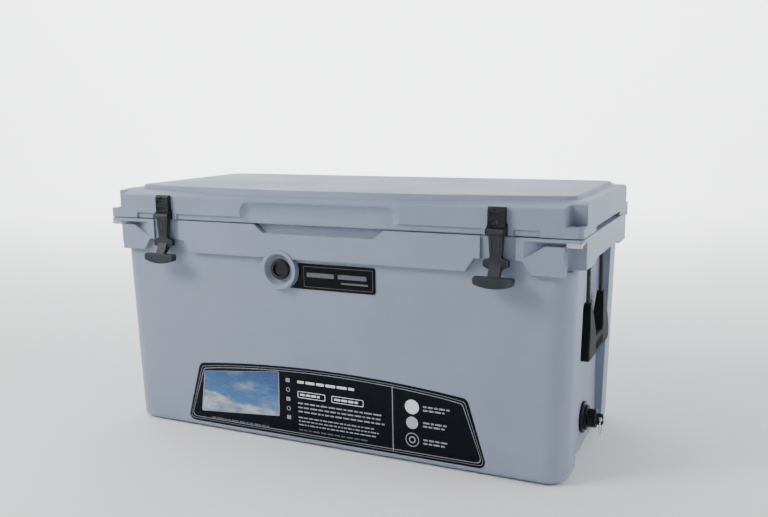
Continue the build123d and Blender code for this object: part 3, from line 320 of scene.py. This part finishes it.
def rounded(corners, radius, steps=6):
    """The outline through these corners, with each one rounded."""
    points = []
    count = len(corners)
    for i, corner in enumerate(corners):
        here = Vector(corner)
        before = Vector(corners[i - 1]) - here
        after = Vector(corners[(i + 1) % count]) - here
        half = before.angle(after) / 2
        reach = min(radius / math.tan(half), 0.45 * before.length, 0.45 * after.length)
        start = here + before.normalized() * reach
        end = here + after.normalized() * reach
        for k in range(steps + 1):
            t = k / steps
            points.append(tuple((1 - t) ** 2 * start + 2 * t * (1 - t) * here + t * t * end))
    return points


def circle(x, y, radius, steps=40):
    return [
        (x + radius * math.cos(2 * math.pi * k / steps), y + radius * math.sin(2 * math.pi * k / steps))
        for k in range(steps)
    ]


def rectangle(x0, x1, y0, y1):
    return [(x0, y0), (x1, y0), (x1, y1), (x0, y1)]


# ------------------------------------------------------------------ the label's print
WALL_LEAN = 5.85  # mm the front wall leans out
WALL_RISE = 380.5  # over this height
WALL_TILT = math.atan2(WALL_LEAN, WALL_RISE)
UP = Vector((0, -math.sin(WALL_TILT), math.cos(WALL_TILT)))
OUT = Vector((0, -math.cos(WALL_TILT), -math.sin(WALL_TILT)))


def wall_place(node):
    """Maps (x, height above the floor, distance off the face), in mm, onto a plate on the front wall."""
    low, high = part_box(node)
    top = Vector((0, low.y, high.z))

    def place(x, z, off):
        return top + Vector((x * MM, 0, 0)) + UP * ((z * MM - high.z) / UP.z) + OUT * (off * MM)

    return place


on_label = wall_place("front_label")
on_plate = wall_place("nameplate")
INK = 0.12  # thickness of print, mm
WHITE_INK = printed("ink_white", rgb(0.80, 0.82, 0.84))
GREY_INK = printed("ink_grey", rgb(0.30, 0.32, 0.35))
DIM_INK = printed("ink_dim", rgb(0.10, 0.11, 0.13))
SILVER_INK = printed("ink_silver", rgb(0.48, 0.50, 0.53), 0.3)


LABEL_FOOT = 287.0  # half the label's width at its lower edge, mm
LABEL_SHOULDER = 254.0  # and where its arched top begins
LABEL_LOW = 13.0
LABEL_HIGH = 123.0
LABEL_CROWN = 138.5  # the middle of the arch
LABEL_CORNER_R = 9.0


def label_rim(inset, steps=48):
    """The label's own outline, drawn in by inset."""
    foot, shoulder, crown = LABEL_FOOT - inset, LABEL_SHOULDER - inset, LABEL_CROWN - inset
    low, high = LABEL_LOW + inset, LABEL_HIGH - inset
    rise = crown - high
    radius = (shoulder**2 + rise**2) / (2 * rise)
    sweep = math.asin(shoulder / radius)
    arch = []
    for k in range(1, steps):
        angle = sweep * (1 - 2 * k / steps)
        arch.append((radius * math.sin(angle), crown - radius * (1 - math.cos(angle))))
    corner = rounded([(-foot, low), (foot, low), (shoulder, high), (-shoulder, high)], LABEL_CORNER_R)
    per = len(corner) // 4
    return corner[: 3 * per - 2] + arch[2:-2] + corner[3 * per + 2 :]


def border(bm):
    for inset, width in ((3.5, 0.6), (7.0, 1.0)):
        prism(bm, label_rim(inset), on_label, 0, INK, hole=label_rim(inset + width))


PICTURE = [(-257.0, 33.0), (-90.0, 46.0), (-88.0, 127.0), (-246.0, 110.0)]


def picture_frame(bm):
    outer = rounded(PICTURE, 3.0)
    centre = Vector((sum(p[0] for p in PICTURE) / 4, sum(p[1] for p in PICTURE) / 4))
    inner = []
    for x, y in outer:
        away = Vector((x, y)) - centre
        inner.append(tuple(centre + away * (1 - 1.6 / away.length)))
    prism(bm, outer, on_label, 0, INK * 1.5, hole=inner)


def picture_panel(bm):
    prism(bm, rounded([(x * 0.995 - 0.9, y * 0.985 + 1.2) for x, y in PICTURE], 2.5), on_label, 0, INK)


def dashes(bm, place, x0, x1, z, height, seed, gap=2.2, shortest=4.0, longest=15.0):
    """A row of plain dashes that stands for a line of print."""
    chance = random.Random(seed)
    x = x0
    while x < x1 - shortest:
        end = min(x1, x + chance.uniform(shortest, longest))
        prism(bm, rounded(rectangle(x, end, z, z + height), height * 0.3, 2), place, 0, INK)
        x = end + gap


def heading(bm):
    dashes(bm, on_label, -52, 62, 111, 4.6, 3, 3.0, 10, 24)
    for x0, x1 in ((-52, 2), (14, 74)):
        prism(
            bm,
            rounded(rectangle(x0, x1, 85, 97), 2.5),
            on_label,
            0,
            INK,
            hole=rounded(rectangle(x0 + 1.1, x1 - 1.1, 86.1, 95.9), 1.8),
        )
        dashes(bm, on_label, x0 + 5, x1 - 5, 89.2, 3.6, int(x0) + 90, 1.8, 5, 12)


def fine_print(bm):
    for row, z in enumerate((74, 66.5, 59)):
        dashes(bm, on_label, -52, 112 - 7 * (row % 2), z, 2.6, 10 + row)
    for row, z in enumerate((48.5, 42, 35.5)):
        dashes(bm, on_label, -52, 96 + 5 * (row % 2), z, 2.2, 20 + row, 1.8, 3, 10)


def faint_print(bm):
    dashes(bm, on_label, -235, -110, 22.0, 2.4, 40)
    dashes(bm, on_label, -52, 84, 26.0, 2.4, 41)


def divider(bm):
    prism(bm, rectangle(126, 127.4, 17, 129), on_label, 0, INK)


def side_symbols(bm):
    """A column of small plain marks between the picture and the print."""
    for k, z in enumerate((114, 97, 80, 63, 47)):
        if k % 2:
            prism(bm, circle(-71, z, 4.0, 24), on_label, 0, INK, hole=circle(-71, z, 2.8, 24))
        else:
            prism(bm, rounded(rectangle(-75, -67, z - 3.6, z + 3.6), 1.2, 3), on_label, 0, INK)


DISCS = ((98.0, 12.2), (71.0, 10.4), (42.0, 12.0))
DISC_X = 161.0


def white_disc(bm):
    z, radius = DISCS[0]
    prism(bm, circle(DISC_X, z, radius), on_label, 0, INK)


def pale_disc(bm):
    z, radius = DISCS[1]
    prism(bm, circle(DISC_X, z, radius), on_label, 0, INK)


def ring_disc(bm):
    z, radius = DISCS[2]
    prism(bm, circle(DISC_X, z, radius), on_label, 0, INK, hole=circle(DISC_X, z, radius - 1.6))
    eye = circle(DISC_X, z, radius * 0.32, 30)
    prism(bm, circle(DISC_X, z, radius * 0.5, 30), on_label, 0, INK, hole=eye)


def disc_print(bm):
    for k, (z, _) in enumerate(DISCS):
        for row in range(2):
            dashes(bm, on_label, 180, 226 - 9 * row, z + 1.2 - 6 * row, 2.8, 60 + 2 * k + row, 2.0, 4, 12)


PRINT = (
    ("label_border", GREY_INK, border),
    ("label_picture_frame", GREY_INK, picture_frame),
    ("label_heading", WHITE_INK, heading),
    ("label_fine_print", GREY_INK, fine_print),
    ("label_faint_print", DIM_INK, faint_print),
    ("label_divider", GREY_INK, divider),
    ("label_symbols", GREY_INK, side_symbols),
    ("label_disc_white", WHITE_INK, white_disc),
    ("label_disc_pale", SILVER_INK, pale_disc),
    ("label_disc_ring", GREY_INK, ring_disc),
    ("label_disc_print", GREY_INK, disc_print),
)
for piece_name, ink, builder in PRINT:
    mesh_piece(piece_name, "tub", ink, builder)
view_low = min(z for _, z in PICTURE) * MM
view_high = max(z for _, z in PICTURE) * MM
mesh_piece(
    "label_picture", "tub", landscape("picture_print", view_low, view_high), picture_panel
)


def plate_lines(bm):
    """A plain keyline, in place of any name."""
    outer = rounded(rectangle(-30, 97, 282, 317), 2.5)
    inner = rounded(rectangle(-29.3, 96.3, 282.7, 316.3), 2.0)
    prism(bm, outer, on_plate, 0, INK, hole=inner)


def plate_bars(bm):
    for x0, x1 in ((-24, 27), (34, 86)):
        prism(bm, rounded(rectangle(x0, x1, 299, 306.5), 1.5, 4), on_plate, 0, INK)
    prism(bm, rounded(rectangle(40, 88, 290.5, 293.6), 0.8, 4), on_plate, 0, INK)


mesh_piece("nameplate_keyline", "tub", DIM_INK, plate_lines)
mesh_piece("nameplate_bars", "tub", DIM_INK, plate_bars)


# ------------------------------------------------------------------ moulded ribs on the latches and grips
RIB_SUNK = 0.15  # mm that a rib's edges sit below the face
STRAP_FACE = -208.2
GRIP_RIB_LOW = 179
GRIP_RIB_STEP = 7.0


def ridge(bm, start, end, normal, width, proud, steps=6):
    """A low rounded rib from start to end, standing on a face along normal; places in mm."""
    start, end, normal = Vector(start), Vector(end), Vector(normal)
    across = (end - start).cross(normal).normalized()
    taper = (end - start).normalized() * width * 0.6
    rings = []
    for spot, lift in ((start, 0.0), (start + taper, 1.0), (end - taper, 1.0), (end, 0.0)):
        ring = []
        for k in range(steps + 1):
            a = math.pi * k / steps
            height = proud * (0.15 + 0.85 * lift) * math.sin(a)
            place = spot + across * math.cos(a) * width / 2 + normal * (height - RIB_SUNK)
            ring.append(bm.verts.new(place * MM))
        rings.append(ring)
    for one, two in zip(rings, rings[1:]):
        for k in range(steps):
            bm.faces.new((one[k], one[k + 1], two[k + 1], two[k])).smooth = True
        bm.faces.new((one[0], two[0], two[-1], one[-1]))
    bm.faces.new(rings[0])
    bm.faces.new(rings[-1][::-1])


def strap_ribs(side):
    low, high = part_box("latch_strap_" + side)
    middle = (low.x + high.x) / 2 / MM

    def build(bm):
        for across in (-5.2, 0.0, 5.2):
            foot = (middle + across, STRAP_FACE, 356)
            head = (middle + across * 1.3, STRAP_FACE, 384)
            ridge(bm, foot, head, (0, -1, 0), 2.2, 0.8)
        for z in (342.6, 346.4):
            ridge(bm, (middle - 16, STRAP_FACE, z), (middle + 16, STRAP_FACE, z), (0, -1, 0), 1.6, 0.6)

    mesh_piece("latch_ribs_" + side, "latch_" + side, MATERIALS["strap_rubber"], build)


def grip_ribs(side, out):
    _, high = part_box("handle_grip_right")
    face = high.x / MM

    def build(bm):
        for k in range(-4, 5):
            start = (out * face, k * GRIP_RIB_STEP, GRIP_RIB_LOW)
            end = (out * face, k * GRIP_RIB_STEP, 195 if abs(k) < 4 else 193)
            ridge(bm, start, end, (out, 0, 0), 3.2, 0.9)

    mesh_piece("grip_ribs_" + side, "handle_" + side, MATERIALS["grip_plastic"], build)


for side_name, outward in (("left", -1), ("right", 1)):
    strap_ribs(side_name)
    grip_ribs(side_name, outward)


# ------------------------------------------------------------------ braided rope handles
STRANDS = 8
STRAND_R = 0.86
BRAID_R = 2.42
BRAID_WAVE = 0.2
BRAID_PITCH = 26.0
CORE_R = 2.25
ROPE_SPAN_STEPS = 48
# one rope's route, in metres: across the end and up, from one ferrule through the grip to the other
ROPE_ROUTE = (
    (-0.054, 0.3465),
    (-0.054, 0.2390),
    (-0.0525, 0.1865),
    (0.0, 0.1850),
    (0.0525, 0.1865),
    (0.054, 0.2390),
    (0.054, 0.3465),
)


def spline_points(name, points):
    """Points along the smooth NURBS spline with these control points, in mm."""
    data = bpy.data.curves.new(name, "CURVE")
    data.dimensions = "3D"
    spline = data.splines.new("NURBS")
    spline.points.add(len(points) - 1)
    for knot, place in zip(spline.points, points):
        knot.co = (*place, 1.0)
    spline.order_u = 3
    spline.use_endpoint_u = True
    spline.resolution_u = ROPE_SPAN_STEPS
    route = bpy.data.objects.new(name, data)
    bpy.context.scene.collection.objects.link(route)
    bpy.context.view_layer.update()
    mesh = bpy.data.meshes.new_from_object(route)
    found = [vertex.co / MM for vertex in mesh.vertices]
    bpy.data.objects.remove(route)
    bpy.data.curves.remove(data)
    bpy.data.meshes.remove(mesh)
    return found


def tube(bm, points, radius, sides=7):
    """A closed tube along points, in mm."""
    rings = []
    reference = Vector((1, 0, 0))
    for i, point in enumerate(points):
        along = (points[min(i + 1, len(points) - 1)] - points[max(i - 1, 0)]).normalized()
        across = (reference - along * reference.dot(along)).normalized()
        other = along.cross(across)
        reference = across
        ring = []
        for k in range(sides):
            a = 2 * math.pi * k / sides
            ring.append(bm.verts.new((point + (across * math.cos(a) + other * math.sin(a)) * radius) * MM))
        rings.append(ring)
    for one, two in zip(rings, rings[1:]):
        for k in range(sides):
            j = (k + 1) % sides
            bm.faces.new((one[k], one[j], two[j], two[k]))
    bm.faces.new(rings[0])
    bm.faces.new(rings[-1][::-1])


def braid(line):
    """Strand paths that wind both ways round a line and pass over and under each other."""
    paths = []
    travelled = [0.0]
    for one, two in zip(line, line[1:]):
        travelled.append(travelled[-1] + (two - one).length)
    for k in range(2 * STRANDS):
        way = 1 if k % 2 else -1
        start = 2 * math.pi * (k // 2) / STRANDS
        path = []
        for i, point in enumerate(line):
            along = (line[min(i + 1, len(line) - 1)] - line[max(i - 1, 0)]).normalized()
            across = Vector((1, 0, 0))
            other = along.cross(across)
            a = start + way * 2 * math.pi * travelled[i] / BRAID_PITCH
            weave = math.cos(STRANDS * (a - start) + STRANDS * start / 2) * way
            reach = BRAID_R + BRAID_WAVE * weave
            path.append(point + (across * math.cos(a) + other * math.sin(a)) * reach)
        paths.append(path)
    return paths


def rope_piece(side):
    """The braided loop that stands for one handle's rope."""
    low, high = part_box("handle_rope_" + side)
    x = (low.x + high.x) / 2
    line = spline_points("rope_route_" + side, [(x, across, rise) for across, rise in ROPE_ROUTE])

    def build(bm):
        tube(bm, line, CORE_R)
        for path in braid(line):
            tube(bm, path, STRAND_R, 6)

    piece = mesh_piece("rope_braid_" + side, None, MATERIALS["rope"], build)
    for polygon in piece.data.polygons:
        polygon.use_smooth = True
    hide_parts("handle_rope_" + side)
    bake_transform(piece)


rope_piece("left")
rope_piece("right")


# ------------------------------------------------------------------ the vent's spring
SPRING_WIRE_R = 0.6
SPRING_TURNS = 3.5
SPRING_STEPS = 110


def vent_spring():
    """A coil of wire that stands for the vent's spring."""
    low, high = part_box("vent_spring")
    middle = (low + high) / 2 / MM
    reach = (high.x - low.x) / 2 / MM - SPRING_WIRE_R
    seat = high.y / MM - SPRING_WIRE_R
    height = (high.y - low.y) / MM - 2 * SPRING_WIRE_R
    coil = []
    for k in range(SPRING_STEPS + 1):
        share = k / SPRING_STEPS
        a = 2 * math.pi * SPRING_TURNS * share
        x = middle.x + reach * math.cos(a)
        z = middle.z + reach * math.sin(a)
        coil.append(Vector((x, seat - height * share, z)))

    def build(bm):
        tube(bm, coil, SPRING_WIRE_R, 8)

    piece = mesh_piece("vent_coil", "tub", MATERIALS["steel"], build)
    for polygon in piece.data.polygons:
        polygon.use_smooth = True
    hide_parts("vent_spring")
    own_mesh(piece)


vent_spring()


# ------------------------------------------------------------------ floor, light and camera
def area_light(name, place, target, size, power, tint=(1.0, 1.0, 1.0)):
    data = bpy.data.lights.new(name, "AREA")
    data.shape = "RECTANGLE"
    data.size, data.size_y = size
    data.energy = power
    data.color = tint
    lamp = bpy.data.objects.new(name, data)
    bpy.context.scene.collection.objects.link(lamp)
    lamp.location = place
    lamp.rotation_euler = (Vector(target) - Vector(place)).to_track_quat("-Z", "Y").to_euler()


SWEEP_FLAT = 4.6  # metres of level floor
SWEEP_R = 1.6
SWEEP_TOP = 3.4
SWEEP_STEPS = 12


def stage_sheet():
    """A pale paper sweep: level under the chest and far round it, curving up to a wall on every side."""
    mesh = bpy.data.meshes.new("floor")
    bm = bmesh.new()
    profile = [(0.5, 0.0), (2.0, 0.0), (SWEEP_FLAT, 0.0)]
    for k in range(1, SWEEP_STEPS + 1):
        a = math.pi / 2 * k / SWEEP_STEPS
        profile.append((SWEEP_FLAT + SWEEP_R * math.sin(a), SWEEP_R * (1 - math.cos(a))))
    profile.append((SWEEP_FLAT + SWEEP_R, SWEEP_TOP))
    turns = 96
    rings = []
    for radius, height in profile:
        ring = []
        for k in range(turns):
            a = 2 * math.pi * k / turns
            ring.append(bm.verts.new((radius * math.cos(a), radius * math.sin(a), height)))
        rings.append(ring)
    bm.faces.new(rings[0])
    for one, two in zip(rings, rings[1:]):
        for k in range(turns):
            j = (k + 1) % turns
            bm.faces.new((one[k], one[j], two[j], two[k])).smooth = True
    bm.to_mesh(mesh)
    bm.free()
    sheet = bpy.data.objects.new("floor", mesh)
    bpy.context.scene.collection.objects.link(sheet)
    kit = Nodes("paper_sweep")
    cloud = kit.noise(0.8, 3.0)
    kit.set("Base Color", kit.mix(cloud, rgb(0.86, 0.87, 0.88), rgb(0.9, 0.91, 0.92)))
    kit.set("Roughness", 0.85)
    kit.set("Specular IOR Level", 0.2)
    mesh.materials.append(kit.material)


stage_sheet()
area_light("key_left", (-1.4, -1.45, 1.65), (-0.45, 0, 0.30), (1.0, 0.9), 46)
area_light("side_right", (2.6, 0.5, 1.5), (0.43, 0, 0.3), (1.4, 1.2), 34)
area_light("top_soft", (-0.8, 0.2, 2.8), (-0.1, 0, 0.3), (2.6, 2.0), 25)
area_light("backdrop", (-1.2, 2.4, 3.6), (-2.4, 6.0, 1.0), (6.0, 1.0), 900)
world = bpy.data.worlds.new("studio")
world.use_nodes = True
world.node_tree.nodes["Background"].inputs["Color"].default_value = rgb(0.9, 0.94, 1.0)
world.node_tree.nodes["Background"].inputs["Strength"].default_value = 0.3
bpy.context.scene.world = world

CAMERA_PLACE = (0.66327, -1.36103, 0.55888)
CAMERA_YAW = 0.43637
CAMERA_PITCH = 0.16911
CAMERA_ROLL = -0.01307
CAMERA_LENS = 38.97


def camera():
    ahead = Vector(
        (
            -math.sin(CAMERA_YAW) * math.cos(CAMERA_PITCH),
            math.cos(CAMERA_YAW) * math.cos(CAMERA_PITCH),
            -math.sin(CAMERA_PITCH),
        )
    )
    level = Vector((math.cos(CAMERA_YAW), math.sin(CAMERA_YAW), 0))
    rise = level.cross(ahead)
    right = level * math.cos(CAMERA_ROLL) + rise * math.sin(CAMERA_ROLL)
    up = rise * math.cos(CAMERA_ROLL) - level * math.sin(CAMERA_ROLL)
    data = bpy.data.cameras.new("camera")
    data.lens = CAMERA_LENS
    data.sensor_width = 36.0
    view = bpy.data.objects.new("camera", data)
    bpy.context.scene.collection.objects.link(view)
    turn = Matrix((right, up, -ahead)).transposed().to_4x4()
    view.matrix_world = Matrix.Translation(CAMERA_PLACE) @ turn
    bpy.context.scene.camera = view


camera()
